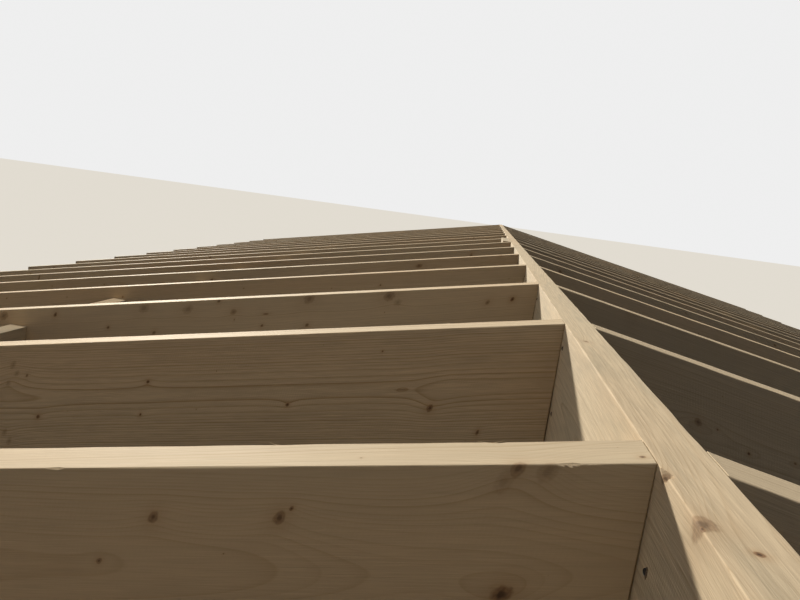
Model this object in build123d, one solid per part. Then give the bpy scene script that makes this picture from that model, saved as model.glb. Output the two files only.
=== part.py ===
"""Rafter roof frame: a ridge board with pairs of common rafters.

Sawn softwood boards on edge make a low gable roof of equal pitch on both
sides. Each rafter is plumb cut against the ridge board, notched with a
bird's mouth where it sits on a wall plate, and plumb cut again at the eave.
The ridge is two stock lengths butted end to end in the middle bay, with a
short splice board beside the joint. One row of shallower blocking stands
between the rafters on each side, every second block a little lower down so
that its neighbours can be nailed from the far side of their shared rafter.

X runs across the ridge, Y along it and Z up. The origin is on the level that
the eave tails stand on, in the middle of the frame under the ridge.
Every length is in millimetres.
"""

import math
import os

from build123d import *

# Boards, all of one thickness
BOARD_THICKNESS = 50.0
RAFTER_DEPTH = 225.0
RIDGE_DEPTH = 250.0
SPLICE_DEPTH = 225.0
BLOCKING_DEPTH = 175.0

# Roof
PITCH = math.degrees(math.atan2(1, 5))
RAFTER_SPACING = 610.0
PAIRS = 20
EAVE_RUN = 3800.0
RIDGE_OVERHANG = 180.0

# Open joint between the two ridge lengths
RIDGE_JOINT_GAP = 1.0

# Bird's mouth, measured in from the tail cut
PLATE_WIDTH = 150.0
PLATE_OVERHANG = 450.0

# Blocking, measured out from the ridge board's face
BLOCKING_RUN = 1450.0
BLOCKING_STAGGER = 50.0

RISE_PER_RUN = math.tan(math.radians(PITCH))
PLUMB_DEPTH = RAFTER_DEPTH / math.cos(math.radians(PITCH))
RIDGE_TOP = EAVE_RUN * RISE_PER_RUN + PLUMB_DEPTH
RIDGE_FACE = BOARD_THICKNESS / 2
SEAT_OUTER = EAVE_RUN - PLATE_OVERHANG
SEAT_INNER = SEAT_OUTER - PLATE_WIDTH
BAY_WIDTH = RAFTER_SPACING - BOARD_THICKNESS
SIDES = {"left": -1, "right": 1}


def underside(run):
    """Height of a rafter's lower edge at a distance out from the ridge board."""
    return (EAVE_RUN - run) * RISE_PER_RUN


def rafter_middle(index):
    """Middle of a rafter's thickness along Y, counted from the front."""
    return (index - (PAIRS - 1) / 2) * RAFTER_SPACING


def bay_middle(index):
    """Middle of the bay behind a rafter."""
    return rafter_middle(index) + RAFTER_SPACING / 2


def rafter(side, index):
    """One common rafter: plumb cut, bird's mouth and tail cut in one outline."""
    seat = underside(SEAT_INNER)
    outline = [
        (0, underside(0)),
        (SEAT_INNER, seat),
        (SEAT_OUTER, seat),
        (SEAT_OUTER, underside(SEAT_OUTER)),
        (EAVE_RUN, 0),
        (EAVE_RUN, PLUMB_DEPTH),
        (0, RIDGE_TOP),
    ]
    sign = SIDES[side]
    points = [(sign * (RIDGE_FACE + run), height) for run, height in outline]
    profile = Plane.XZ * make_face(Polyline(*points, close=True))
    board = extrude(profile, amount=BOARD_THICKNESS / 2, both=True)
    return Pos(0, rafter_middle(index), 0) * board


def ridge_length(y_start, y_end):
    """One stock length of the ridge board between two places along Y."""
    board = Box(
        BOARD_THICKNESS,
        y_end - y_start,
        RIDGE_DEPTH,
        align=(Align.CENTER, Align.MIN, Align.MAX),
    )
    return Pos(0, y_start, RIDGE_TOP) * board


def ridge_boards():
    """Both lengths of the ridge, butted in the bay nearest the middle."""
    front = rafter_middle(0) - BOARD_THICKNESS / 2 - RIDGE_OVERHANG
    rear = rafter_middle(PAIRS - 1) + BOARD_THICKNESS / 2 + RIDGE_OVERHANG
    joint = bay_middle(PAIRS // 2 - 1)
    return {
        "ridge_board_front": ridge_length(front, joint - RIDGE_JOINT_GAP / 2),
        "ridge_board_rear": ridge_length(joint + RIDGE_JOINT_GAP / 2, rear),
    }


def splice_board():
    """The short board on the left of the ridge joint, cut to fill its bay."""
    board = Box(
        BOARD_THICKNESS,
        BAY_WIDTH,
        SPLICE_DEPTH,
        align=(Align.MAX, Align.CENTER, Align.MAX),
    )
    return Pos(-RIDGE_FACE, bay_middle(PAIRS // 2 - 1), RIDGE_TOP) * board


def blocking_row(side):
    """Upright boards between neighbouring rafters, none below their lower edges."""
    corner = Align.MIN if side == "right" else Align.MAX
    block = Box(
        BOARD_THICKNESS,
        BAY_WIDTH,
        BLOCKING_DEPTH,
        align=(corner, Align.CENTER, Align.MIN),
    )
    blocks = []
    for index in range(PAIRS - 1):
        run = BLOCKING_RUN + BLOCKING_STAGGER * (index % 2)
        x = SIDES[side] * (RIDGE_FACE + run)
        blocks.append(Pos(x, bay_middle(index), underside(run)) * block)
    return Compound(blocks)


def frame_pieces():
    """Every piece of the frame by its node name."""
    pieces = ridge_boards()
    pieces["ridge_splice_board"] = splice_board()
    for side in SIDES:
        pieces[f"{side}_blocking_row"] = blocking_row(side)
        for index in range(PAIRS):
            pieces[f"{side}_rafter_{index + 1:02d}"] = rafter(side, index)
    return pieces


os.makedirs("parts", exist_ok=True)
for name, piece in frame_pieces().items():
    export_step(piece, f"parts/{name}.step")
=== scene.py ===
"""The looks of a rafter roof frame, in the order in which a carpenter puts it up.

Every board is made again with eased, slightly torn edges on the outline of its
CAD solid, and carries its place in the log that it was sawn from. The sawn
spruce is worked out from that place, so rings, knots and end grain run through
from one face to the next. Metres, with X across the ridge and Y along it.
"""
import math

import bpy
import numpy as np
from mathutils import Matrix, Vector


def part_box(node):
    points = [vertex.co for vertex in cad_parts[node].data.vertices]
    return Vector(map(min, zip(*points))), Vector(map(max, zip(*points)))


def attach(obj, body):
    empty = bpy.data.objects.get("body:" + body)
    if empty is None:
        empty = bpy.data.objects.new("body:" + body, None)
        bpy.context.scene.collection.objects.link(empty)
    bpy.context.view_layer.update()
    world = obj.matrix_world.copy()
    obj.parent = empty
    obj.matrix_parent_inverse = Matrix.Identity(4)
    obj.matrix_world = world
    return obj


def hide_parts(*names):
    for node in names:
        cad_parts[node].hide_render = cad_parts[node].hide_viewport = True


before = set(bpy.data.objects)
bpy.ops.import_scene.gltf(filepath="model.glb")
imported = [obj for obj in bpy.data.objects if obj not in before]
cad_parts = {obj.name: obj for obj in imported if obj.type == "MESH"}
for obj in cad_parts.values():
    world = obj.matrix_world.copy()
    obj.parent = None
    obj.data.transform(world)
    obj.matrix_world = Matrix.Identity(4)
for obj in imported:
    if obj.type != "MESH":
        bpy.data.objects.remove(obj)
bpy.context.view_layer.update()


# Ridge boards
# Two 6 m lengths of 50 x 250 mm sawn spruce on edge, butted in the middle bay.
# They are set first, and every rafter is cut to bear on their faces.

ridge_low, ridge_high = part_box("ridge_board_front")
BOARD_EDGE = 0.0012
EDGE_WEAR = 0.0009
WEAR_SPACING = 0.03
END_BEVEL = 0.0010
CHIP_HOLLOW = 0.55
LOG_STRIDE = 7.0
CORNER_TURN = np.radians([[-90, -60, -30, 0], [0, 30, 60, 90], [90, 120, 150, 180], [180, 210, 240, 270]])
CORNER_SIDE = np.array([1, 1, -1, -1])
CORNER_END = np.array([-1, 1, 1, -1])
CORNERS = len(CORNER_TURN)
RING_POINTS = CORNER_TURN.size


def smooth_random(draw, along, spacing, low, high):
    """Random values every so often along a board, joined by straight ramps."""
    marks = np.arange(along.min() - spacing, along.max() + 2 * spacing, spacing)
    return np.interp(along, marks, draw.uniform(low, high, len(marks)))


def edge_radii(draw, along, chips):
    """Radius of each of the four long edges at each station, and how deep chips bite into it.

    A chip is (corner, start, length, depth): it is deepest where it starts, runs
    out as the square root of what is left of its length, and is ragged at random.
    """
    radii = np.stack([smooth_random(draw, along, WEAR_SPACING, -1, 1) for _ in range(CORNERS)], axis=1)
    radii = BOARD_EDGE + EDGE_WEAR * radii
    bites = np.zeros_like(radii)
    for corner, start, length, depth in chips:
        share = (along - start) / length
        left = np.where((share >= 0) & (share < 1), 1 - share, 0.0)
        torn = depth * np.sqrt(left) * draw.uniform(0.75, 1.0, len(along))
        bites[:, corner] = np.maximum(bites[:, corner], torn)
    return radii, bites


def board_rings(along, low, high, half, edges):
    """Rings of points round a board, as an array of station, point and (along, across, up).

    Each ring is an upright rectangle between low and high, half a thickness to
    each side, whose corners are quarter circles, and where a chip has bitten a
    corner the quarter circle is hollow. The first and last ring are drawn in by the
    bevel of the saw cut.
    """
    radii, bites = edges
    along = np.concatenate([[along[0]], along, [along[-1]]])
    along[1] += END_BEVEL
    along[-2] -= END_BEVEL
    low, high, radii, bites = (np.concatenate([v[:1], v, v[-1:]]) for v in (low, high, radii, bites))
    inset = np.zeros(len(along))
    inset[[0, -1]] = END_BEVEL
    radius = (radii + bites)[:, :, None]
    middle = CORNER_TURN[:, 1:3].mean(axis=1, keepdims=True)
    hollow = bites[:, :, None] * np.array([0.0, CHIP_HOLLOW, CHIP_HOLLOW, 0.0])
    across = CORNER_SIDE[:, None] * (half - inset[:, None, None] - radius) + radius * np.cos(CORNER_TURN)
    across = across - hollow * np.cos(middle)
    level = np.where(CORNER_END > 0, (high - inset)[:, None], (low + inset)[:, None])
    up = level[:, :, None] - CORNER_END[:, None] * radius + radius * np.sin(CORNER_TURN)
    up = up - hollow * np.sin(middle)
    count = len(along)
    run = np.broadcast_to(along[:, None], (count, RING_POINTS))
    return np.stack([run, across.reshape(count, -1), up.reshape(count, -1)], axis=2)


def tube_faces(count, rows, sides, mirrored=False):
    """Faces of like tubes, each of some rows of points: quads between rows, and a cap at both ends.

    They face outwards where the points of a row run anticlockwise for someone who looks
    at the tube's far end, and mirrored is for rows that run clockwise.
    """
    row = np.arange(sides)
    first = np.arange(rows - 1)[:, None] * sides + row
    second = np.arange(rows - 1)[:, None] * sides + (row + 1) % sides
    quads = np.stack([first, second, second + sides, first + sides], axis=2).reshape(-1, 4)
    starts = np.arange(count)[:, None] * rows * sides
    quads = (quads + starts[:, :, None]).reshape(-1, 4)
    caps = np.concatenate([starts + row[::-1], starts + (rows - 1) * sides + row])
    return (quads[:, ::-1], caps[:, ::-1]) if mirrored else (quads, caps)


def fixed_to_frame(name, mesh, material):
    """The mesh as a piece of the scene, in one finish, that rides on the frame."""
    mesh.materials.append(material)
    piece = bpy.data.objects.new(name, mesh)
    bpy.context.collection.objects.link(piece)
    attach(piece, "root")
    return piece


def board_piece(name, parts, material, nodes):
    """One object from one or more boards, each (points, (quads, caps), places in the log)."""
    points, faces, places, ends, start = [], [], [], [], 0
    for board_points, (quads, caps), log_places in parts:
        points.append(board_points.reshape(-1, 3))
        places.append(log_places.reshape(-1, 3))
        faces += (quads + start).tolist() + (caps + start).tolist()
        ends += [0.0] * len(quads) + [1.0] * len(caps)
        start += len(points[-1])
    mesh = bpy.data.meshes.new(name)
    mesh.from_pydata(np.concatenate(points).tolist(), [], faces)
    mesh.attributes.new("log_place", "FLOAT_VECTOR", "POINT").data.foreach_set(
        "vector", np.concatenate(places).ravel())
    mesh.attributes.new("end_grain", "FLOAT", "FACE").data.foreach_set("value", ends)
    piece = fixed_to_frame(name, mesh, material)
    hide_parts(*nodes)


def place_in_log(index, along, across, depth, pith):
    """Where points of a board were in its log: along it, and across from its pith.

    pith is (distance behind the middle of the board, depth below the top edge,
    direction). Each board has its own stretch of one long row of logs.
    """
    behind, below, direction = pith
    centre = LOG_STRIDE * (index + 0.5)
    return np.stack([centre + direction * along, behind - across, depth - below], axis=-1)


def add(tree, kind, sockets=(), **settings):
    """A shader node with its settings, its sockets fed in order or by name."""
    made = tree.nodes.new("ShaderNode" + kind)
    for name, value in settings.items():
        setattr(made, name, value)
    feeds = sockets.items() if isinstance(sockets, dict) else enumerate(sockets)
    for key, value in feeds:
        if isinstance(value, bpy.types.NodeSocket):
            tree.links.new(value, made.inputs[key])
        elif value is not None:
            made.inputs[key].default_value = value
    return made


def calc(tree, operation, *values):
    """The result of one step of arithmetic."""
    return add(tree, "Math", values, operation=operation).outputs[0]


def ramp(tree, value, start, end, low=0.0, high=1.0):
    """value taken smoothly from low at start to high at end."""
    sockets = (value, start, end, low, high)
    return add(tree, "MapRange", sockets, interpolation_type="SMOOTHSTEP").outputs[0]


def blend(tree, amount, first, second):
    """Two colours mixed by an amount."""
    made = add(tree, "Mix", {"Factor": amount}, data_type="RGBA", clamp_factor=True)
    for socket, value in ((made.inputs[6], first), (made.inputs[7], second)):
        if isinstance(value, bpy.types.NodeSocket):
            tree.links.new(value, socket)
        else:
            socket.default_value = value
    return made.outputs[2]


def stretched_noise(tree, place, scale, detail=2.0, roughness=0.5):
    """Noise that runs at its own scale along, behind and down the log, from 0 to 1."""
    scaled = add(tree, "VectorMath", (place, scale), operation="MULTIPLY").outputs[0]
    sockets = {"Vector": scaled, "Scale": 1.0, "Detail": detail, "Roughness": roughness}
    return add(tree, "TexNoise", sockets).outputs[0]


def new_group(name, takes, gives):
    """An empty node group, with its input and output sockets named."""
    tree = bpy.data.node_groups.new(name, "ShaderNodeTree")
    for direction, sockets in (("INPUT", takes), ("OUTPUT", gives)):
        for label, kind in sockets.items():
            tree.interface.new_socket(label, in_out=direction, socket_type="NodeSocket" + kind)
    return tree, tree.nodes.new("NodeGroupInput").outputs, tree.nodes.new("NodeGroupOutput").inputs


def use_group(tree, group, sockets):
    """A group placed in a tree, its sockets fed by name."""
    made = tree.nodes.new("ShaderNodeGroup")
    made.node_tree = group
    for key, value in sockets.items():
        if isinstance(value, bpy.types.NodeSocket):
            tree.links.new(value, made.inputs[key])
        else:
            made.inputs[key].default_value = value
    return made.outputs


def make_log_group():
    """Distance along the log, distance from the pith and direction from it.

    Ring radius is the same distance with the stem's taper, its slow wander and one
    swelling between two places along it, and is what the rings follow. Rag is a
    fine noise about zero, which makes the outlines of knots uneven.
    """
    tree, takes, gives = new_group(
        "log_round",
        {"Place": "Vector", "Taper": "Float", "Wander": "Float",
         "Swell From": "Float", "Swell To": "Float", "Swell": "Float"},
        {"Along": "Float", "Radius": "Float", "Angle": "Float", "Ring Radius": "Float", "Rag": "Float"})
    apart = add(tree, "SeparateXYZ", (takes["Place"],)).outputs
    radius = calc(tree, "SQRT", calc(tree, "ADD", calc(tree, "MULTIPLY", apart[1], apart[1]),
                                     calc(tree, "MULTIPLY", apart[2], apart[2])))
    slow = stretched_noise(tree, takes["Place"], (1.1, 5.0, 5.0), 0.0)
    quick = stretched_noise(tree, takes["Place"], (4.5, 24.0, 24.0), 0.0)
    rag = stretched_noise(tree, takes["Place"], (150.0, 150.0, 150.0), 1.0)
    sway = calc(tree, "ADD", calc(tree, "MULTIPLY", calc(tree, "SUBTRACT", slow, 0.5), 0.030),
                calc(tree, "MULTIPLY", calc(tree, "SUBTRACT", quick, 0.5), 0.0035))
    wound = calc(tree, "MULTIPLY", sway, takes["Wander"])
    tapered = calc(tree, "ADD", radius, calc(tree, "MULTIPLY", apart[0], takes["Taper"]))
    swollen = ramp(tree, apart[0], takes["Swell From"], takes["Swell To"], 0.0, takes["Swell"])
    tapered = calc(tree, "ADD", tapered, swollen)
    tree.links.new(calc(tree, "SUBTRACT", rag, 0.5), gives["Rag"])
    tree.links.new(apart[0], gives["Along"])
    tree.links.new(radius, gives["Radius"])
    tree.links.new(calc(tree, "ARCTAN2", apart[2], apart[1]), gives["Angle"])
    tree.links.new(calc(tree, "ADD", tapered, wound), gives["Ring Radius"])
    return tree


def knot_marks(tree, off_along, off_round, size, length, tone, edge, takes):
    """Adds one knot to the swelling of the rings and to the marks of knot, pith and halo.

    The swelling falls off as one over one plus the square of the distance in knot
    sizes, and is longer along the grain. edge takes it to nothing where it is 0,
    and tone is how dark the marks are.
    """
    drawn = calc(tree, "DIVIDE", off_along, length)
    squares = calc(tree, "ADD", calc(tree, "MULTIPLY", drawn, drawn),
                   calc(tree, "MULTIPLY", off_round, off_round))
    reach = calc(tree, "DIVIDE", calc(tree, "SQRT", squares), size)
    ragged = calc(tree, "MULTIPLY_ADD", takes["Rag"], 0.6, reach)
    slim = calc(tree, "MULTIPLY", off_along, 0.55)
    stretched = calc(tree, "ADD", calc(tree, "MULTIPLY", slim, slim),
                     calc(tree, "MULTIPLY", off_round, off_round))
    spread = calc(tree, "DIVIDE", stretched, calc(tree, "MULTIPLY", size, size))
    fall = calc(tree, "MULTIPLY_ADD", spread, 0.13, 1.0)
    swell = calc(tree, "MULTIPLY", calc(tree, "DIVIDE", size, fall), edge)
    bulge = calc(tree, "MULTIPLY_ADD", swell, 0.85, takes["Bulge"])
    core = ramp(tree, ragged, 0.70, 1.12, 1.0, 0.0)
    pith = ramp(tree, ragged, 0.15, 0.60, 1.0, 0.0)
    halo = calc(tree, "EXPONENT", calc(tree, "MULTIPLY", calc(tree, "MULTIPLY", ragged, reach), -0.22))
    marks = [calc(tree, "MULTIPLY", mark, tone) for mark in (core, pith, halo)]
    marks = add(tree, "CombineXYZ", marks).outputs[0]
    return bulge, add(tree, "VectorMath", (marks, takes["Marks"]), operation="MAXIMUM").outputs[0]


KNOT_INPUTS = {"Along": "Float", "Radius": "Float", "Angle": "Float", "Rag": "Float",
               "Bulge": "Float", "Marks": "Vector"}
KNOT_OUTPUTS = {"Bulge": "Float", "Marks": "Vector"}
KNOT_SHAPE = ("Knot Along", "Knot Angle", "Knot Size", "Knot Length", "Knot Tone")


def make_knot_group():
    """One branch: a straight spoke out from the pith, seen as a knot where a face cuts it."""
    takes = dict(KNOT_INPUTS, **{label: "Float" for label in KNOT_SHAPE})
    tree, takes, gives = new_group("branch_knot", takes, KNOT_OUTPUTS)
    off_along = calc(tree, "SUBTRACT", takes["Along"], takes["Knot Along"])
    turn = calc(tree, "SUBTRACT", takes["Angle"], takes["Knot Angle"])
    off_round = calc(tree, "MULTIPLY", turn, takes["Radius"])
    size, length, tone = (takes[label] for label in KNOT_SHAPE[2:])
    bulge, marks = knot_marks(tree, off_along, off_round, size, length, tone, 1.0, takes)
    tree.links.new(bulge, gives["Bulge"])
    tree.links.new(marks, gives["Marks"])
    return tree


def make_scattered_group():
    """Branches at random along and round the log, most of them small, one in each Voronoi cell."""
    takes = dict(KNOT_INPUTS, **{"Along Each": "Float", "Angle Each": "Float", "Largest": "Float"})
    tree, takes, gives = new_group("scattered_knots", takes, KNOT_OUTPUTS)
    cell_along = calc(tree, "DIVIDE", takes["Along"], takes["Along Each"])
    cell_angle = calc(tree, "DIVIDE", takes["Angle"], takes["Angle Each"])
    flat = add(tree, "CombineXYZ", (cell_along, cell_angle, 0.0)).outputs[0]
    feeds = {"Vector": flat, "Scale": 1.0, "Randomness": 0.9}
    cells = add(tree, "TexVoronoi", feeds, voronoi_dimensions="2D")
    border = add(tree, "TexVoronoi", feeds, voronoi_dimensions="2D", feature="DISTANCE_TO_EDGE").outputs[0]
    edge = ramp(tree, border, 0.0, 0.30)
    spot = add(tree, "SeparateXYZ", (cells.outputs["Position"],)).outputs
    chance = add(tree, "SeparateXYZ", (cells.outputs["Color"],)).outputs
    off_along = calc(tree, "MULTIPLY", calc(tree, "SUBTRACT", cell_along, spot[0]), takes["Along Each"])
    turn = calc(tree, "MULTIPLY", calc(tree, "SUBTRACT", cell_angle, spot[1]), takes["Angle Each"])
    off_round = calc(tree, "MULTIPLY", turn, takes["Radius"])
    share = calc(tree, "MULTIPLY_ADD", calc(tree, "POWER", chance[0], 3.0), 0.85, 0.15)
    size = calc(tree, "MULTIPLY", share, takes["Largest"])
    length = calc(tree, "MULTIPLY_ADD", chance[1], 0.9, 0.75)
    tone = calc(tree, "MULTIPLY_ADD", chance[2], 0.6, 0.4)
    bulge, marks = knot_marks(tree, off_along, off_round, size, length, tone, edge, takes)
    tree.links.new(bulge, gives["Bulge"])
    tree.links.new(marks, gives["Marks"])
    return tree


WARM_WOOD = (0.63, 0.44, 0.265, 1.0)
# The grey of the painted dappled shadow patches.
PAINTED_SHADOW_GREY = (0.42, 0.365, 0.265, 1.0)
KNOT_HALO = (0.40, 0.25, 0.13, 1.0)
KNOT_BROWN = (0.27, 0.155, 0.082, 1.0)
KNOT_DARK = (0.15, 0.080, 0.043, 1.0)
KNOT_PITH = (0.045, 0.026, 0.017, 1.0)
PLANER_WAVE = 0.0046


def make_spruce_group():
    """Sawn spruce: pale early wood and thin brown late lines, with fibres, knots and planer marks."""
    tree, takes, gives = new_group(
        "sawn_spruce",
        {"Place": "Vector", "Ring Radius": "Float", "Bulge": "Float", "Marks": "Vector",
         "End Grain": "Float", "Ring Width": "Float", "Phase": "Float", "Contrast": "Float",
         "Greyed": "Float", "Streaks": "Float", "Early Wood": "Color", "Late Wood": "Color"},
        {"Color": "Color", "Roughness": "Float", "Height": "Float"})
    place = takes["Place"]
    marks = add(tree, "SeparateXYZ", (takes["Marks"],)).outputs
    along = add(tree, "SeparateXYZ", (place,)).outputs[0]

    grown = calc(tree, "SUBTRACT", takes["Ring Radius"], takes["Bulge"])
    age = calc(tree, "DIVIDE", grown, takes["Ring Width"])
    seasons = add(tree, "TexNoise", {"W": calc(tree, "MULTIPLY", age, 0.31), "Scale": 1.0, "Detail": 0.0},
                  noise_dimensions="1D").outputs[0]
    age = calc(tree, "MULTIPLY_ADD", seasons, 2.0, calc(tree, "ADD", age, takes["Phase"]))
    year = calc(tree, "FLOOR", age)
    season = calc(tree, "FRACT", age)
    darkening = calc(tree, "POWER", season, 4.0)
    late = calc(tree, "MULTIPLY", darkening, ramp(tree, season, 0.90, 1.0, 1.0, 0.0))
    luck = add(tree, "TexWhiteNoise", {"W": year}, noise_dimensions="1D").outputs[0]
    strength = calc(tree, "MULTIPLY_ADD", calc(tree, "POWER", luck, 1.6), 0.75, 0.45)
    late = calc(tree, "MULTIPLY", calc(tree, "MULTIPLY", late, strength), takes["Contrast"])

    fibres = stretched_noise(tree, place, (9.0, 620.0, 620.0), 2.0, 0.6)
    fine = stretched_noise(tree, place, (30.0, 2400.0, 2400.0), 0.0)
    blotch = stretched_noise(tree, place, (1.7, 9.0, 9.0), 1.0)
    warmth = stretched_noise(tree, place, (0.8, 5.0, 5.0), 0.0)
    board = calc(tree, "FLOOR", calc(tree, "DIVIDE", along, LOG_STRIDE))
    tone = add(tree, "TexWhiteNoise", {"W": calc(tree, "ADD", board, 0.37)}, noise_dimensions="1D").outputs

    wood = blend(tree, late, takes["Early Wood"], takes["Late Wood"])
    wood = blend(tree, ramp(tree, warmth, 0.35, 0.75, 0.0, 0.30), wood, WARM_WOOD)
    shade = calc(tree, "MULTIPLY_ADD", fibres, 0.20, 0.90)
    shade = calc(tree, "MULTIPLY", shade, calc(tree, "MULTIPLY_ADD", fine, 0.14, 0.93))
    shade = calc(tree, "MULTIPLY", shade, calc(tree, "MULTIPLY_ADD", blotch, 0.22, 0.89))
    shade = calc(tree, "MULTIPLY", shade, calc(tree, "MULTIPLY_ADD", tone[0], 0.16, 0.92))
    streak = ramp(tree, stretched_noise(tree, place, (16.0, 210.0, 210.0), 2.0, 0.6), 0.35, 0.65, -1.0, 1.0)
    shade = calc(tree, "MULTIPLY", shade, calc(tree, "MULTIPLY_ADD", streak, takes["Streaks"], 1.0))
    shade = calc(tree, "MULTIPLY", shade, calc(tree, "MULTIPLY_ADD", takes["End Grain"], -0.24, 1.0))

    # Grey patches over the wood: painted dappled shadow, strong on the ridge and the blocks, faint on the
    # rafters.
    shadow_patches = ramp(tree, stretched_noise(tree, place, (5.0, 32.0, 32.0), 2.0, 0.6), 0.44, 0.74)
    wood = blend(tree, calc(tree, "MULTIPLY", shadow_patches, takes["Greyed"]), wood, PAINTED_SHADOW_GREY)
    wood = blend(tree, calc(tree, "MULTIPLY", marks[2], 0.50), wood, KNOT_HALO)
    grain = stretched_noise(tree, place, (260.0, 260.0, 260.0), 1.0, 0.65)
    knot = blend(tree, ramp(tree, grain, 0.3, 0.7), KNOT_DARK, KNOT_BROWN)
    wood = blend(tree, calc(tree, "MULTIPLY", marks[0], 0.85), wood, knot)
    wood = blend(tree, calc(tree, "MULTIPLY", marks[1], 0.80), wood, KNOT_PITH)
    grey = add(tree, "CombineXYZ", (shade, shade, shade)).outputs[0]
    colour = add(tree, "VectorMath", (wood, grey), operation="MULTIPLY").outputs[0]
    tree.links.new(colour, gives["Color"])

    rough = calc(tree, "MULTIPLY_ADD", fibres, 0.18, 0.70)
    rough = calc(tree, "MULTIPLY_ADD", marks[0], -0.05, rough)
    tree.links.new(calc(tree, "MULTIPLY_ADD", takes["End Grain"], 0.2, rough), gives["Roughness"])

    planer = calc(tree, "SINE", calc(tree, "MULTIPLY", along, 2.0 * math.pi / PLANER_WAVE))
    patch = ramp(tree, stretched_noise(tree, place, (2.6, 12.0, 12.0), 0.0), 0.48, 0.66)
    height = calc(tree, "MULTIPLY", calc(tree, "MULTIPLY", planer, patch), 0.07)
    height = calc(tree, "MULTIPLY_ADD", fibres, 0.55, height)
    height = calc(tree, "MULTIPLY_ADD", fine, 0.30, height)
    height = calc(tree, "MULTIPLY_ADD", calc(tree, "MULTIPLY", streak, takes["Streaks"]), 4.0, height)
    coarse = stretched_noise(tree, place, (70.0, 900.0, 900.0), 1.0)
    height = calc(tree, "MULTIPLY_ADD", calc(tree, "MULTIPLY", coarse, takes["End Grain"]), 1.4, height)
    tree.links.new(height, gives["Height"])
    return tree


log_group = make_log_group()
knot_group = make_knot_group()
scattered_group = make_scattered_group()
spruce_group = make_spruce_group()


def spruce(name, early, late, ring_width=0.0026, contrast=0.8, taper=0.006, wander=1.0, greyed=0.1,
           streaks=0.02, swell=(0.0, 1.0, 0.0), phase=0.0, knots=(), largest=0.010, spread=(0.34, 0.75)):
    """A board's finish: the shared wood with its own rings, colours and knots.

    knots are (along the log, angle from the pith, radius, length to width, tone),
    beside those scattered over the log up to the largest radius, whose cells have
    the spread along it and round it. swell is (from, to, growth) along the log.
    """
    material = bpy.data.materials.new(name)
    material.use_nodes = True
    tree = material.node_tree
    surface = tree.nodes["Principled BSDF"]
    place = add(tree, "Attribute", attribute_name="log_place").outputs["Vector"]
    ends = add(tree, "Attribute", attribute_name="end_grain").outputs["Fac"]
    stem = {"Swell From": swell[0], "Swell To": swell[1], "Swell": swell[2]}
    log = use_group(tree, log_group, {"Place": place, "Taper": taper, "Wander": wander, **stem})
    shared = {key: log[key] for key in ("Along", "Radius", "Angle", "Rag")}
    found = {"Bulge": 0.0, "Marks": (0.0, 0.0, 0.0)}
    scattered = {"Along Each": spread[0], "Angle Each": spread[1], "Largest": largest}
    own = [(scattered_group, scattered)]
    own += [(knot_group, dict(zip(KNOT_SHAPE, knot))) for knot in knots]
    for group, values in own:
        made = use_group(tree, group, {**shared, **found, **values})
        found = {"Bulge": made["Bulge"], "Marks": made["Marks"]}
    wood = use_group(tree, spruce_group, {
        "Place": place, "Ring Radius": log["Ring Radius"], **found, "End Grain": ends,
        "Ring Width": ring_width, "Phase": phase, "Contrast": contrast, "Greyed": greyed,
        "Streaks": streaks, "Early Wood": early, "Late Wood": late})
    tree.links.new(wood["Color"], surface.inputs["Base Color"])
    tree.links.new(wood["Roughness"], surface.inputs["Roughness"])
    bump = add(tree, "Bump", {"Strength": 0.8, "Distance": 0.0004, "Height": wood["Height"]})
    tree.links.new(bump.outputs[0], surface.inputs["Normal"])
    surface.inputs["Specular IOR Level"].default_value = 0.10
    return material


def knots_in_log(index, middle, pith, seen):
    """Knots seen at (along, depth below top, distance across), in the log's own measures.

    What follows those three, the radius, length to width and tone, stays as it is.
    """
    behind, below, direction = pith
    centre = LOG_STRIDE * (index + 0.5)
    return [(centre + direction * (along - middle), math.atan2(depth - below, behind - across), *rest)
            for along, depth, across, *rest in seen]


RIDGE_EARLY = (0.595, 0.498, 0.355, 1.0)
RIDGE_LATE = (0.385, 0.285, 0.172, 1.0)
RIDGE_PITH = (0.045, 0.11, 1)
RIDGE_LENGTH = ridge_high[1] - ridge_low[1]

# Each is (y, depth below the top, x, radius, length to width, tone)
RIDGE_KNOTS = [(-4.083, 0.0, -0.0222, 0.0092, 1.2, 0.62),
               (-4.110, 0.0, 0.000, 0.0032, 1.0, 1.0),
               (-4.090, 0.0, -0.0245, 0.0016, 2.6, 0.9),
               (-4.225, 0.0, 0.012, 0.0036, 1.3, 0.6),
               # The next one is a dark mark in the chip at the top left edge: painted shade of the torn
               # notch, with darker torn fibre.
               (-4.008, 0.003, -0.0240, 0.0038, 1.3, 0.7),
               (-3.52, 0.0, -0.010, 0.004, 1.5, 0.5),
               (-3.30, 0.035, -0.025, 0.005, 1.0, 0.8)]
from_front = [(y - ridge_low[1], depth, x, *rest) for y, depth, x, *rest in RIDGE_KNOTS]
ridge_knots = knots_in_log(0, RIDGE_LENGTH / 2, RIDGE_PITH, from_front)
# The ridge's greyed patches are painted dappled shadow.
ridge_finish = {
    "ring_width": 0.0024, "contrast": 0.9, "greyed": 0.45, "streaks": 0.055, "spread": (0.5, 0.9)}
ridge_front_spruce = spruce(
    "ridge_front_spruce", RIDGE_EARLY, RIDGE_LATE, knots=ridge_knots, largest=0.004, **ridge_finish)
ridge_rear_spruce = spruce(
    "ridge_rear_spruce", RIDGE_EARLY, RIDGE_LATE, largest=0.013, **ridge_finish)


COARSE_STEP = 0.03
RIDGE_FINE_STEP = 0.004
RIDGE_NEAR = (-4.55, -3.0)
STATION_DIGITS = 6
RIDGE_SEED = 100


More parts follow.
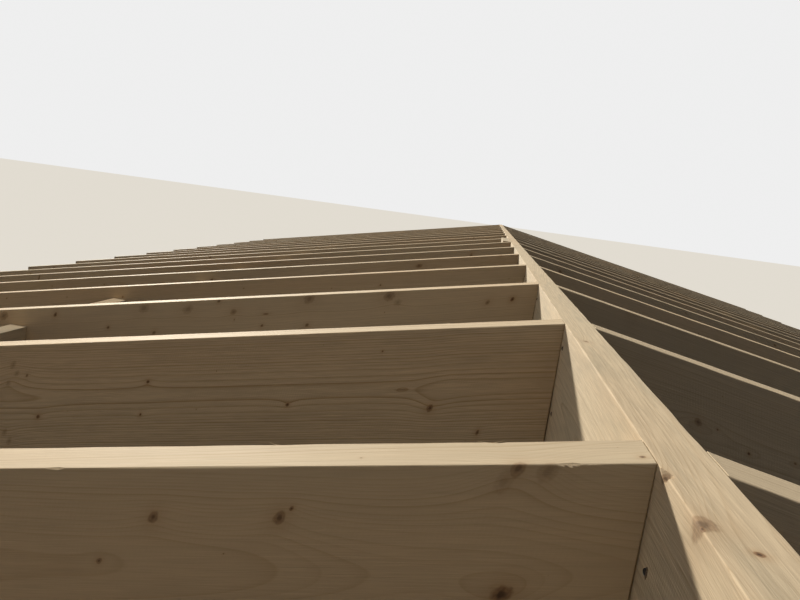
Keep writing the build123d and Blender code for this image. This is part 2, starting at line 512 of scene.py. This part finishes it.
def ridge_part(index, node, chips):
    """One ridge length, with stations close together where the camera is near.

    Stations are rounded, so that one that both spacings give is there once.
    """
    low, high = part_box(node)
    fine = np.arange(*RIDGE_NEAR, RIDGE_FINE_STEP)
    coarse = np.arange(low[1], high[1], COARSE_STEP)
    inside = fine[(fine > low[1]) & (fine < high[1])]
    along = np.unique(np.concatenate([coarse, inside, [low[1], high[1]]]).round(STATION_DIGITS))
    draw = np.random.default_rng(RIDGE_SEED + index)
    bottom = np.full(len(along), low[2])
    top = np.full(len(along), high[2])
    rings = board_rings(along, bottom, top, (high[0] - low[0]) / 2, edge_radii(draw, along, chips))
    points = np.stack([rings[..., 1], rings[..., 0], rings[..., 2]], axis=-1)
    from_middle = rings[..., 0] - low[1] - (high[1] - low[1]) / 2
    log = place_in_log(index, from_middle, rings[..., 1], high[2] - rings[..., 2], RIDGE_PITH)
    return points, tube_faces(1, len(rings), RING_POINTS, mirrored=True), log


RIDGE_CHIPS = [(2, -4.015, 0.014, 0.0056), (2, -3.62, 0.05, 0.0010), (1, -4.2, 0.03, 0.0015)]
ridge_front = ridge_part(0, "ridge_board_front", RIDGE_CHIPS)
board_piece("ridge_length_front", [ridge_front], ridge_front_spruce, ["ridge_board_front"])
ridge_rear = ridge_part(1, "ridge_board_rear", [])
board_piece("ridge_length_rear", [ridge_rear], ridge_rear_spruce, ["ridge_board_rear"])


# Common rafters
# Forty boards of 50 x 225 mm sawn spruce, each plumb cut to bear on the ridge,
# notched over the wall plate and plumb cut at the tail, set in pairs.

PAIRS = 20
RAFTER_EARLY = (0.600, 0.495, 0.348, 1.0)
RAFTER_LATE = (0.390, 0.278, 0.163, 1.0)
rafter_spruce = spruce("rafter_spruce", RAFTER_EARLY, RAFTER_LATE, ring_width=0.0028)

RIDGE_FACE = ridge_high[0]
rafter_low, rafter_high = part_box("right_rafter_01")
thickness = rafter_high[1] - rafter_low[1]
RUN = rafter_high[0] - RIDGE_FACE
SLOPE = 0.2
LEAN = math.atan(SLOPE)
PLUMB = rafter_high[2] - SLOPE * RUN
PLATE_OVERHANG = 0.450
PLATE_WIDTH = 0.150
SEAT_OUTER = RUN - PLATE_OVERHANG
SEAT_INNER = SEAT_OUTER - PLATE_WIDTH
HEEL_STEP = 0.0006
PLUMB_GAP = 0.0022
DETAILED_RUN = 1.6
RAFTER_FINE_STEP = 0.006
DETAILED_PAIRS = range(4, 8)
RAFTER_SEED = 200


def rafter_part(side, number, index, step, pith, chips):
    """One rafter, whose lower edge follows the slope, the level seat and the heel.

    Its plumb cut touches the ridge at the top and stands off by a small gap at the
    bottom, in proportion to the depth.
    """
    sign = -1 if side == "left" else 1
    low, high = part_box(f"{side}_rafter_{number:02d}")
    near = np.arange(0, DETAILED_RUN, step)
    far = np.arange(DETAILED_RUN, RUN, COARSE_STEP)
    marks = [SEAT_INNER, SEAT_OUTER - HEEL_STEP, SEAT_OUTER, RUN]
    run = np.unique(np.concatenate([near, far, marks]))
    draw = np.random.default_rng(RAFTER_SEED + index)
    under = SLOPE * (RUN - run)
    on_seat = (run >= SEAT_INNER) & (run <= SEAT_OUTER - HEEL_STEP)
    lower = np.where(on_seat, SLOPE * (RUN - SEAT_INNER), under)
    half = (high[1] - low[1]) / 2
    rings = board_rings(run, lower, under + PLUMB, half, edge_radii(draw, run, chips))
    middle = (high[1] + low[1]) / 2
    cut = PLUMB_GAP * (PLUMB + SLOPE * RUN - rings[:2, :, 2]) / PLUMB
    rings[:2, :, 0] += np.clip(cut, 0.0, PLUMB_GAP)
    points = np.stack([sign * (RIDGE_FACE + rings[..., 0]), middle + rings[..., 1], rings[..., 2]], axis=-1)
    drop = PLUMB + SLOPE * (RUN - rings[..., 0]) - rings[..., 2]
    along = rings[..., 0] / math.cos(LEAN) - drop * math.sin(LEAN)
    log = place_in_log(index, along - RUN / 2, rings[..., 1], drop * math.cos(LEAN), pith)
    return points, tube_faces(1, len(rings), RING_POINTS, mirrored=sign < 0), log


# The boards nearest the camera have knots, rings and chips of their own. A knot is
# (along, depth below the top edge, distance across, radius, length to width, tone),
# and FACE is the side towards the camera.
FACE = -thickness / 2
CHARACTER = {
    ("left", 4): {
        "pith": (0.062, 0.087, -1),
        "wood": {"ring_width": 0.0024, "contrast": 0.62, "taper": 0.020, "largest": 0.0015, "phase": 0.3},
        "knots": [(0.390, 0.044, FACE, 0.0050, 1.0, 0.7), (0.279, 0.044, FACE, 0.0056, 1.0, 0.7),
                  (0.271, 0.036, FACE, 0.0020, 1.0, 0.8), (0.429, 0.084, FACE, 0.0030, 1.0, 0.7),
                  (0.077, 0.107, FACE, 0.0075, 1.2, 0.9), (0.101, 0.003, FACE, 0.0060, 1.0, 0.55),
                  (0.078, 0.006, FACE, 0.0070, 1.2, 0.28), (0.108, 0.014, FACE, 0.0080, 1.0, 0.20),
                  (0.008, 0.0, -0.012, 0.0020, 1.3, 0.7)],
        "chips": [(2, 0.058, 0.012, 0.0020), (1, 0.112, 0.014, 0.0015), (2, 0.476, 0.012, 0.0015)]},
    ("left", 5): {
        "pith": (0.035, 0.105, 1),
        "wood": {"ring_width": 0.0038, "taper": 0.0005, "largest": 0.002, "contrast": 1.6,
                 "wander": 0.05, "swell": (0.149, 0.239, 0.0030), "phase": 0.90, "streaks": 0.05},
        "knots": [(0.730, 0.079, FACE, 0.0030, 1.2, 0.9), (0.728, 0.142, FACE, 0.0024, 1.0, 0.9),
                  (0.941, 0.142, FACE, 0.0036, 1.2, 0.9), (0.985, 0.060, FACE, 0.0028, 1.0, 0.6),
                  (0.241, 0.1065, FACE, 0.0019, 8.0, 0.35), (0.444, 0.129, FACE, 0.0030, 1.2, 0.9),
                  (0.180, 0.141, FACE, 0.0060, 1.0, 0.8), (0.081, 0.187, FACE, 0.0030, 1.0, 0.8),
                  (1.020, 0.038, FACE, 0.0055, 1.2, 0.28), (1.008, 0.055, FACE, 0.0050, 1.2, 0.28),
                  (1.022, 0.074, FACE, 0.0050, 1.2, 0.28), (1.006, 0.172, FACE, 0.0050, 1.2, 0.28),
                  (0.992, 0.190, FACE, 0.0050, 1.2, 0.28)],
        "chips": [(1, 0.95, 0.02, 0.0015)]},
    ("left", 6): {
        "pith": (0.050, 0.120, 1), "wood": {"ring_width": 0.0026, "taper": 0.006, "largest": 0.003},
        "knots": [(1.552, 0.018, FACE, 0.0080, 1.8, 0.50), (1.383, 0.022, FACE, 0.0042, 1.3, 0.80),
                  (1.203, 0.066, FACE, 0.0042, 1.2, 0.65), (1.105, 0.014, FACE, 0.0090, 2.0, 0.28),
                  (1.054, 0.087, FACE, 0.0050, 1.2, 0.60), (0.968, 0.024, FACE, 0.0085, 2.0, 0.30),
                  (0.881, 0.004, FACE, 0.0030, 1.6, 0.70), (0.828, 0.037, FACE, 0.0060, 1.6, 0.45),
                  (0.730, 0.047, FACE, 0.0016, 5.0, 0.70), (0.732, 0.080, FACE, 0.0038, 1.2, 0.70),
                  (0.616, 0.010, FACE, 0.0085, 2.0, 0.40), (0.600, 0.083, FACE, 0.0050, 1.2, 0.60),
                  (0.392, 0.014, FACE, 0.0080, 2.2, 0.45), (0.362, 0.032, FACE, 0.0060, 2.0, 0.25),
                  (0.118, 0.042, FACE, 0.0046, 1.4, 0.55), (0.055, 0.037, FACE, 0.0040, 1.3, 1.00)],
        "chips": []},
    ("right", 5): {
        "pith": (0.050, 0.100, 1), "wood": {"ring_width": 0.0026, "largest": 0.003},
        "knots": [(0.176, 0.090, FACE, 0.0070, 1.0, 0.5), (0.209, 0.091, FACE, 0.0018, 1.0, 0.8),
                  (0.262, 0.111, FACE, 0.0028, 1.0, 0.9), (0.339, 0.100, FACE, 0.0026, 1.0, 0.6)],
        "chips": []},
}


def characterful_spruce(name, index, own):
    """The finish of a rafter with knots of its own, and with its swelling moved to its log."""
    knots = knots_in_log(index, RUN / 2, own["pith"], own["knots"])
    finish = dict(own["wood"])
    if "swell" in finish:
        start, end, growth = finish["swell"]
        to_log = LOG_STRIDE * (index + 0.5) - RUN / 2
        finish["swell"] = (to_log + start, to_log + end, growth)
    return spruce(name, RAFTER_EARLY, RAFTER_LATE, knots=knots, **finish)


FIRST_RAFTER_LOG = 3
PITH_BEHIND = (0.035, 0.085)
PITH_BELOW = (0.03, 0.17)
PITH_SEED = 7
luck = np.random.default_rng(PITH_SEED)
for side in ("left", "right"):
    for number in range(1, PAIRS + 1):
        node = f"{side}_rafter_{number:02d}"
        index = FIRST_RAFTER_LOG + number - 1 + (PAIRS if side == "right" else 0)
        behind = luck.uniform(*PITH_BEHIND) * luck.choice([-1, 1])
        pith = (behind, luck.uniform(*PITH_BELOW), luck.choice([-1, 1]))
        wood, chips = rafter_spruce, []
        if (side, number) in CHARACTER:
            own = CHARACTER[side, number]
            pith, chips = own["pith"], own["chips"]
            wood = characterful_spruce(f"{node}_spruce", index, own)
        step = RAFTER_FINE_STEP if number in DETAILED_PAIRS else COARSE_STEP
        part = rafter_part(side, number, index, step, pith, chips)
        board_piece(f"{side}_common_rafter_{number:02d}", [part], wood, [node])


# Splice board and blocking
# Offcuts of the same stock: one board beside the ridge joint on the left, and
# a shallower board nailed between each two rafters.

# The blocks are a little darker than the rafters and strongly greyed: painted shade, as their tops lie in
# the rafters' shadow.
BLOCK_EARLY = (0.585, 0.485, 0.345, 1.0)
BLOCK_LATE = (0.390, 0.280, 0.165, 1.0)
block_spruce = spruce("block_spruce", BLOCK_EARLY, BLOCK_LATE, greyed=0.8)
BLOCK_DEPTH = 0.175
BLOCK_RUNS = (1.450, 1.500)
BLOCK_GAP = 0.0012
BLOCK_STATIONS = 60
BLOCK_PITH_BEHIND = (0.05, 0.09)
BLOCK_PITH_BELOW = (-0.02, 0.16)
BLOCK_SEED = 300
SPLICE_LOG = 45
FIRST_BLOCK_LOG = 46


def short_board(index, x_span, y_span, z_span):
    """One short board along Y, cut a little short of its bay. Each span is (low, high)."""
    along = np.linspace(y_span[0] + BLOCK_GAP, y_span[1] - BLOCK_GAP, BLOCK_STATIONS)
    draw = np.random.default_rng(BLOCK_SEED + index)
    bottom = np.full(len(along), z_span[0])
    top = np.full(len(along), z_span[1])
    half = (x_span[1] - x_span[0]) / 2
    rings = board_rings(along, bottom, top, half, edge_radii(draw, along, ()))
    points = np.stack([sum(x_span) / 2 + rings[..., 1], rings[..., 0], rings[..., 2]], axis=-1)
    pith = (draw.uniform(*BLOCK_PITH_BEHIND), draw.uniform(*BLOCK_PITH_BELOW), draw.choice([-1, 1]))
    log = place_in_log(index, rings[..., 0] - y_span[0], rings[..., 1], z_span[1] - rings[..., 2], pith)
    return points, tube_faces(1, len(rings), RING_POINTS, mirrored=True), log


splice_low, splice_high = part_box("ridge_splice_board")
splice = short_board(SPLICE_LOG, *zip(splice_low, splice_high))
board_piece("ridge_splice", [splice], block_spruce, ["ridge_splice_board"])

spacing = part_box("left_rafter_02")[0][1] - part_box("left_rafter_01")[0][1]
for side, sign in (("left", -1), ("right", 1)):
    blocks = []
    for bay in range(PAIRS - 1):
        run = BLOCK_RUNS[bay % 2]
        x_span = sorted([sign * (RIDGE_FACE + run), sign * (RIDGE_FACE + run + thickness)])
        start = rafter_high[1] + bay * spacing
        y_span = (start, start + spacing - thickness)
        bottom = SLOPE * (RUN - run)
        index = FIRST_BLOCK_LOG + bay + (PAIRS if side == "right" else 0)
        blocks.append(short_board(index, x_span, y_span, (bottom, bottom + BLOCK_DEPTH)))
    board_piece(f"{side}_blocking", blocks, block_spruce, [f"{side}_blocking_row"])


# Screws and nails
# Black wood screws go slantwise through the ridge into the right-hand rafters,
# from pockets in its left face. Plain nails hold the blocking and the splice.

HEAD_RADIUS = 0.0034
HEAD_SIDES = 12
HEAD_PROFILE = [(0.0, 0.85), (-0.0005, 1.0), (0.0006, 1.0), (0.0032, 0.5), (0.012, 0.5)]
SCREW_DEPTHS = (0.036, 0.155)
SCREW_SUNK = 0.0004
SCREW_BEFORE_RAFTER = (0.020, 0.032)
SCREW_LEVEL_OFF = 0.004
SCREW_SLANT = (0.45, 0.75)
SCREW_DIP = 0.2
LOWER_FIRST_SCREW = {4: 0.079, 9: 0.062, 14: 0.070}


def turned(centres, axes, profile, radius, sides):
    """Many like turned pieces at once: each profile of (depth, share of radius) spun round its axis.

    A point is its centre plus the depth along the axis plus the radius times the
    cosine and sine of the turn along two directions square to the axis.
    """
    centres, axes = np.asarray(centres, float), np.asarray(axes, float)
    axes = axes / np.linalg.norm(axes, axis=1, keepdims=True)
    first = np.cross(axes, [0.0, 0.0, 1.0])
    first /= np.linalg.norm(first, axis=1, keepdims=True)
    second = np.cross(axes, first)
    depth, share = np.array(profile).T
    angle = np.arange(sides) * 2 * np.pi / sides
    cosine, sine = np.cos(angle)[None, :, None], np.sin(angle)[None, :, None]
    ring = cosine * first[:, None, :] + sine * second[:, None, :]
    spread = radius * share[None, :, None, None] * ring[:, None, :, :]
    points = centres[:, None, None, :] + depth[None, :, None, None] * axes[:, None, None, :] + spread
    return points.reshape(-1, 3), tube_faces(len(centres), len(profile), sides)


def steel(name, colour, metallic, roughness):
    """Steel with a worn coating, patchy in colour and in gloss."""
    material = bpy.data.materials.new(name)
    material.use_nodes = True
    tree = material.node_tree
    surface = tree.nodes["Principled BSDF"]
    place = add(tree, "TexCoord").outputs["Object"]
    wear = stretched_noise(tree, place, (700.0, 700.0, 700.0), 2.0)
    worn = tuple(min(1.0, 2.2 * part) for part in colour[:3]) + (1.0,)
    tree.links.new(blend(tree, ramp(tree, wear, 0.5, 0.75), colour, worn), surface.inputs["Base Color"])
    tree.links.new(calc(tree, "MULTIPLY_ADD", wear, 0.3, roughness), surface.inputs["Roughness"])
    surface.inputs["Metallic"].default_value = metallic
    return material


def small_piece(name, points, faces, material):
    """One object of many small like things, from their points and their (quads, caps)."""
    quads, caps = faces
    mesh = bpy.data.meshes.new(name)
    mesh.from_pydata(points.tolist(), [], quads.tolist() + caps.tolist())
    return fixed_to_frame(name, mesh, material)


def torn_wood(name, pale, dark):
    """Fibre torn open by a blow or a screw: matt, and mottled between two tones.
    Round the screws the tones are dark, as painted shade of the pockets' hollows.
    """
    material = bpy.data.materials.new(name)
    material.use_nodes = True
    tree = material.node_tree
    surface = tree.nodes["Principled BSDF"]
    place = add(tree, "TexCoord").outputs["Object"]
    mottle = stretched_noise(tree, place, (500.0, 900.0, 700.0), 2.0)
    tree.links.new(blend(tree, ramp(tree, mottle, 0.35, 0.65), pale, dark), surface.inputs["Base Color"])
    bump = add(tree, "Bump", {"Strength": 0.7, "Distance": 0.0005, "Height": mottle})
    tree.links.new(bump.outputs[0], surface.inputs["Normal"])
    surface.inputs["Roughness"].default_value = 0.85
    return material


FASTENER_SEED = 21
luck = np.random.default_rng(FASTENER_SEED)
fronts = rafter_low[1] + spacing * np.arange(PAIRS)
centres = []
for number, front in enumerate(fronts, start=1):
    for depth in (LOWER_FIRST_SCREW.get(number, SCREW_DEPTHS[0]), SCREW_DEPTHS[1]):
        level = ridge_high[2] - depth + luck.uniform(-SCREW_LEVEL_OFF, SCREW_LEVEL_OFF)
        centres.append((-RIDGE_FACE + SCREW_SUNK, front - luck.uniform(*SCREW_BEFORE_RAFTER), level))
centres = np.array(centres)
count = len(centres)
slants = luck.uniform(*SCREW_SLANT, count)
axes = np.stack([np.ones(count), slants, luck.uniform(-SCREW_DIP, SCREW_DIP, count)], axis=1)
screw_steel = steel("black_screw_steel", (0.020, 0.018, 0.017, 1.0), 0.6, 0.35)
small_piece("ridge_screws", *turned(centres, axes, HEAD_PROFILE, HEAD_RADIUS, HEAD_SIDES), screw_steel)

# Round each screw is a ragged flat plug just proud of the ridge's face, dark with painted shade
# of the pocket's hollow and mottled like torn fibre. Its rim is an upright oval round the screw,
# with a random reach of its own at every corner.
POCKET_SIDES = 14
POCKET_PROUD = 0.00015
POCKET_SUNK = 0.0010
POCKET_REACH = (0.0028, 0.0048)
POCKET_WIDTH = 0.9
POCKET_HEIGHT = 1.15
angle = np.arange(POCKET_SIDES) * 2 * np.pi / POCKET_SIDES
reach = luck.uniform(*POCKET_REACH, (count, POCKET_SIDES))
rims = np.zeros((count, 2, POCKET_SIDES, 3))
rims[:, 0, :, 0] = -RIDGE_FACE - POCKET_PROUD
rims[:, 1, :, 0] = -RIDGE_FACE + POCKET_SUNK
rims[..., 1] = (centres[:, 1, None] + POCKET_WIDTH * reach * np.cos(angle))[:, None]
rims[..., 2] = (centres[:, 2, None] + POCKET_HEIGHT * reach * np.sin(angle))[:, None]
pocket_faces = tube_faces(count, 2, POCKET_SIDES)
pocket_shade_wood = torn_wood("pocket_shade_wood", (0.16, 0.10, 0.055, 1.0), (0.035, 0.022, 0.014, 1.0))
small_piece("screw_pockets", rims.reshape(-1, 3), pocket_faces, pocket_shade_wood)

NAIL_RADIUS = 0.0036
NAIL_SIDES = 10
NAIL_PROFILE = [(-0.0007, 0.8), (-0.0004, 1.0), (0.0004, 1.0), (0.0030, 0.4), (0.0060, 0.4)]
NAIL_LEVELS = (0.040, 0.135)
NAIL_OFF = 0.01
NAIL_OFF_ALONG = 0.008
NAIL_LEAN = 0.1
SPLICE_NAILS = 5
SPLICE_NAIL_INSET = 0.06
SPLICE_NAIL_LEVELS = (splice_high[2] - 0.04, splice_low[2] + 0.05)
heads, drives = [], []
for sign in (-1, 1):
    for bay in range(PAIRS - 1):
        run = BLOCK_RUNS[bay % 2] + thickness / 2
        for level in NAIL_LEVELS:
            for y, drive in ((fronts[bay], 1.0), (fronts[bay] + spacing + thickness, -1.0)):
                out = run + luck.uniform(-NAIL_OFF_ALONG, NAIL_OFF_ALONG)
                up = level + luck.uniform(-NAIL_OFF, NAIL_OFF)
                lean = luck.uniform(-NAIL_LEAN, NAIL_LEAN, 2)
                heads.append((sign * (RIDGE_FACE + out), y, SLOPE * (RUN - run) + up))
                drives.append((lean[0], drive, lean[1]))
for y in np.linspace(splice_low[1] + SPLICE_NAIL_INSET, splice_high[1] - SPLICE_NAIL_INSET, SPLICE_NAILS):
    for z in SPLICE_NAIL_LEVELS:
        off = luck.uniform(-NAIL_OFF, NAIL_OFF, 2)
        lean = luck.uniform(-NAIL_LEAN, NAIL_LEAN, 2)
        heads.append((splice_low[0], y + off[0], z + off[1]))
        drives.append((1.0, lean[0], lean[1]))
nail_steel = steel("bright_nail_steel", (0.30, 0.29, 0.27, 1.0), 0.8, 0.38)
small_piece("blocking_nails", *turned(heads, drives, NAIL_PROFILE, NAIL_RADIUS, NAIL_SIDES), nail_steel)


# Splinters
# Slivers that the saw and the claw left standing on the long edges. They are
# the boards' own wood, torn up at one end.

SLIVER_SECTIONS = 6
SLIVER_CORNERS = [(0.5, 0.0), (-0.5, 0.0), (0.0, 0.45)]
SLIVERS_EACH = 3
SLIVER_INSET = 0.0008
SLIVER_SUNK = 0.0010
SLIVER_LENGTH = (0.006, 0.018)
SLIVER_WIDTH = (0.0008, 0.0018)
SLIVER_RUN = (0.08, RUN - 0.05)
SLIVER_TURN_OUT = 0.25
SLIVER_CURL_OUT = 0.35
SLIVER_CURL_UP = (0.05, 0.30)


def slivers(roots, ways, lifts, lengths, widths):
    """Many slivers at once, each a three-sided taper that curls away from its edge.

    A middle point is the root plus the way times length times t plus the lift times
    length times t squared, and the section shrinks as a power of one less t. Corners
    of the section are (across, up), as shares of its width.
    """
    t = np.linspace(0.0, 1.0, SLIVER_SECTIONS)
    way = ways / np.linalg.norm(ways, axis=1, keepdims=True)
    middle = (roots[:, None, :] + way[:, None, :] * (lengths[:, None] * t)[..., None]
              + lifts[:, None, :] * (lengths[:, None] * t * t)[..., None])
    side = np.cross(way, [0.0, 0.0, 1.0])
    side /= np.linalg.norm(side, axis=1, keepdims=True)
    size = widths[:, None] * (1.02 - t) ** 0.8
    upright = np.array([0.0, 0.0, 1.0])
    lines = [middle + side[:, None, :] * (size * across)[..., None] + upright * (size * up)[..., None]
             for across, up in SLIVER_CORNERS]
    points = np.stack(lines, axis=2)
    return points.reshape(-1, 3), tube_faces(len(roots), SLIVER_SECTIONS, len(SLIVER_CORNERS))


# Each is (side, rafter, distance out from the ridge, 1 for the rear edge or -1 for the front)
NEAR_SLIVERS = [("left", 4, 0.117, 1), ("left", 4, 0.121, 1), ("left", 4, 0.066, -1),
                ("left", 4, 0.060, -1), ("left", 4, 0.052, -1), ("left", 5, 0.185, 1),
                ("left", 4, 0.300, 1)]
places = list(NEAR_SLIVERS)
for side in ("left", "right"):
    for number in range(1, PAIRS + 1):
        for _ in range(SLIVERS_EACH):
            places.append((side, number, luck.uniform(*SLIVER_RUN), luck.choice([-1, 1])))
roots, ways, lifts = [], [], []
for side, number, run, edge in places:
    sign = -1 if side == "left" else 1
    low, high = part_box(f"{side}_rafter_{number:02d}")
    y = (high[1] if edge > 0 else low[1]) - edge * SLIVER_INSET
    roots.append((sign * (RIDGE_FACE + run), y, PLUMB + SLOPE * (RUN - run) - SLIVER_SUNK))
    toward = luck.choice([-1, 1])
    ways.append((toward * sign, edge * luck.uniform(0.0, SLIVER_TURN_OUT), -SLOPE * toward))
    lifts.append((0.0, edge * luck.uniform(0.0, SLIVER_CURL_OUT), luck.uniform(*SLIVER_CURL_UP)))
lengths = luck.uniform(*SLIVER_LENGTH, len(roots))
widths = luck.uniform(*SLIVER_WIDTH, len(roots))
sliver_wood = torn_wood("sliver_wood", (0.66, 0.55, 0.39, 1.0), (0.52, 0.40, 0.26, 1.0))
edge_slivers = slivers(np.array(roots), np.array(ways), np.array(lifts), lengths, widths)
small_piece("edge_slivers", *edge_slivers, sliver_wood)


# Floor, light and camera
# A pale floor and sky, a low lamp ahead on the left, whose light grazes the tops of
# the boards, and a wide soft lamp overhead. The camera stands just above the ridge.

FLOOR_HALF = 60.0
FLOOR_SEEN = (0.84, 0.84, 0.83, 1.0)
FLOOR_FELT = (0.070, 0.080, 0.100, 1.0)
SKY_SEEN = (0.86, 0.86, 0.86, 1.0)
SKY_FELT = (0.90, 0.88, 0.90, 1.0)
SKY_SHARE = 0.13


def seen_plainly(tree):
    """1 for light paths that show the background itself, and 0 for those that light the boards by it."""
    path = add(tree, "LightPath").outputs
    shown = calc(tree, "MAXIMUM", path["Is Camera Ray"], path["Is Glossy Ray"])
    return calc(tree, "MAXIMUM", shown, path["Is Transmission Ray"])


def stage_floor():
    """A wide plane that looks pale and gives back less light than it shows."""
    corners = [(x * FLOOR_HALF, y * FLOOR_HALF, 0.0) for x, y in ((-1, -1), (1, -1), (1, 1), (-1, 1))]
    mesh = bpy.data.meshes.new("floor")
    mesh.from_pydata(corners, [], [(0, 1, 2, 3)])
    material = bpy.data.materials.new("pale_floor")
    material.use_nodes = True
    tree = material.node_tree
    surface = tree.nodes["Principled BSDF"].inputs
    tree.links.new(blend(tree, seen_plainly(tree), FLOOR_FELT, FLOOR_SEEN), surface["Base Color"])
    surface["Roughness"].default_value = 1.0
    surface["Specular IOR Level"].default_value = 0.0
    mesh.materials.append(material)
    floor = bpy.data.objects.new("floor", mesh)
    bpy.context.collection.objects.link(floor)


def stage_sky():
    """An even sky, brighter to the eye than to the boards."""
    world = bpy.data.worlds.new("studio")
    world.use_nodes = True
    tree = world.node_tree
    seen = seen_plainly(tree)
    background = tree.nodes["Background"].inputs
    tree.links.new(blend(tree, seen, SKY_FELT, SKY_SEEN), background["Color"])
    tree.links.new(ramp(tree, seen, 0.0, 1.0, SKY_SHARE, 1.0), background["Strength"])
    bpy.context.scene.world = world


def lamp(name, heading, elevation, strength, spread, colour):
    """A far lamp. Heading is to the left of +Y and points at the lamp. All angles are in degrees."""
    light = bpy.data.lights.new(name, "SUN")
    light.energy = strength
    light.angle = math.radians(spread)
    light.color = colour
    holder = bpy.data.objects.new(name, light)
    turn = Matrix.Rotation(math.radians(heading), 4, "Z")
    turn = turn @ Matrix.Rotation(math.radians(90 + elevation), 4, "X")
    holder.matrix_world = turn @ Matrix.Rotation(math.pi, 4, "Y")
    bpy.context.collection.objects.link(holder)


CAMERA_PLACE = (-0.174, -4.467, ridge_high[2] + 0.166)
CAMERA_HEADING = math.radians(6.965)
CAMERA_DOWN = math.radians(8.742)
CAMERA_TILT = math.radians(7.598)
CAMERA_LENS = 28.83
CAMERA_SENSOR = 36.0


def photo_camera():
    """The camera just above the ridge, looking along it, a little left and down, and tilted."""
    camera = bpy.data.cameras.new("photo_view")
    camera.lens = CAMERA_LENS
    camera.sensor_width = CAMERA_SENSOR
    camera.clip_start = 0.01
    holder = bpy.data.objects.new("photo_view", camera)
    turn = Matrix.Rotation(CAMERA_HEADING, 4, "Z") @ Matrix.Rotation(math.pi / 2 - CAMERA_DOWN, 4, "X")
    turn = turn @ Matrix.Rotation(CAMERA_TILT, 4, "Z")
    holder.matrix_world = Matrix.Translation(CAMERA_PLACE) @ turn
    bpy.context.collection.objects.link(holder)
    bpy.context.scene.camera = holder


stage_floor()
stage_sky()
lamp("low_lamp", heading=30.0, elevation=7.5, strength=4.8, spread=3.0, colour=(1.0, 0.93, 0.81))
lamp("high_lamp", heading=40.0, elevation=84.0, strength=1.85, spread=25.0, colour=(1.0, 0.94, 0.83))
photo_camera()
bpy.context.scene.view_settings.view_transform = "Standard"
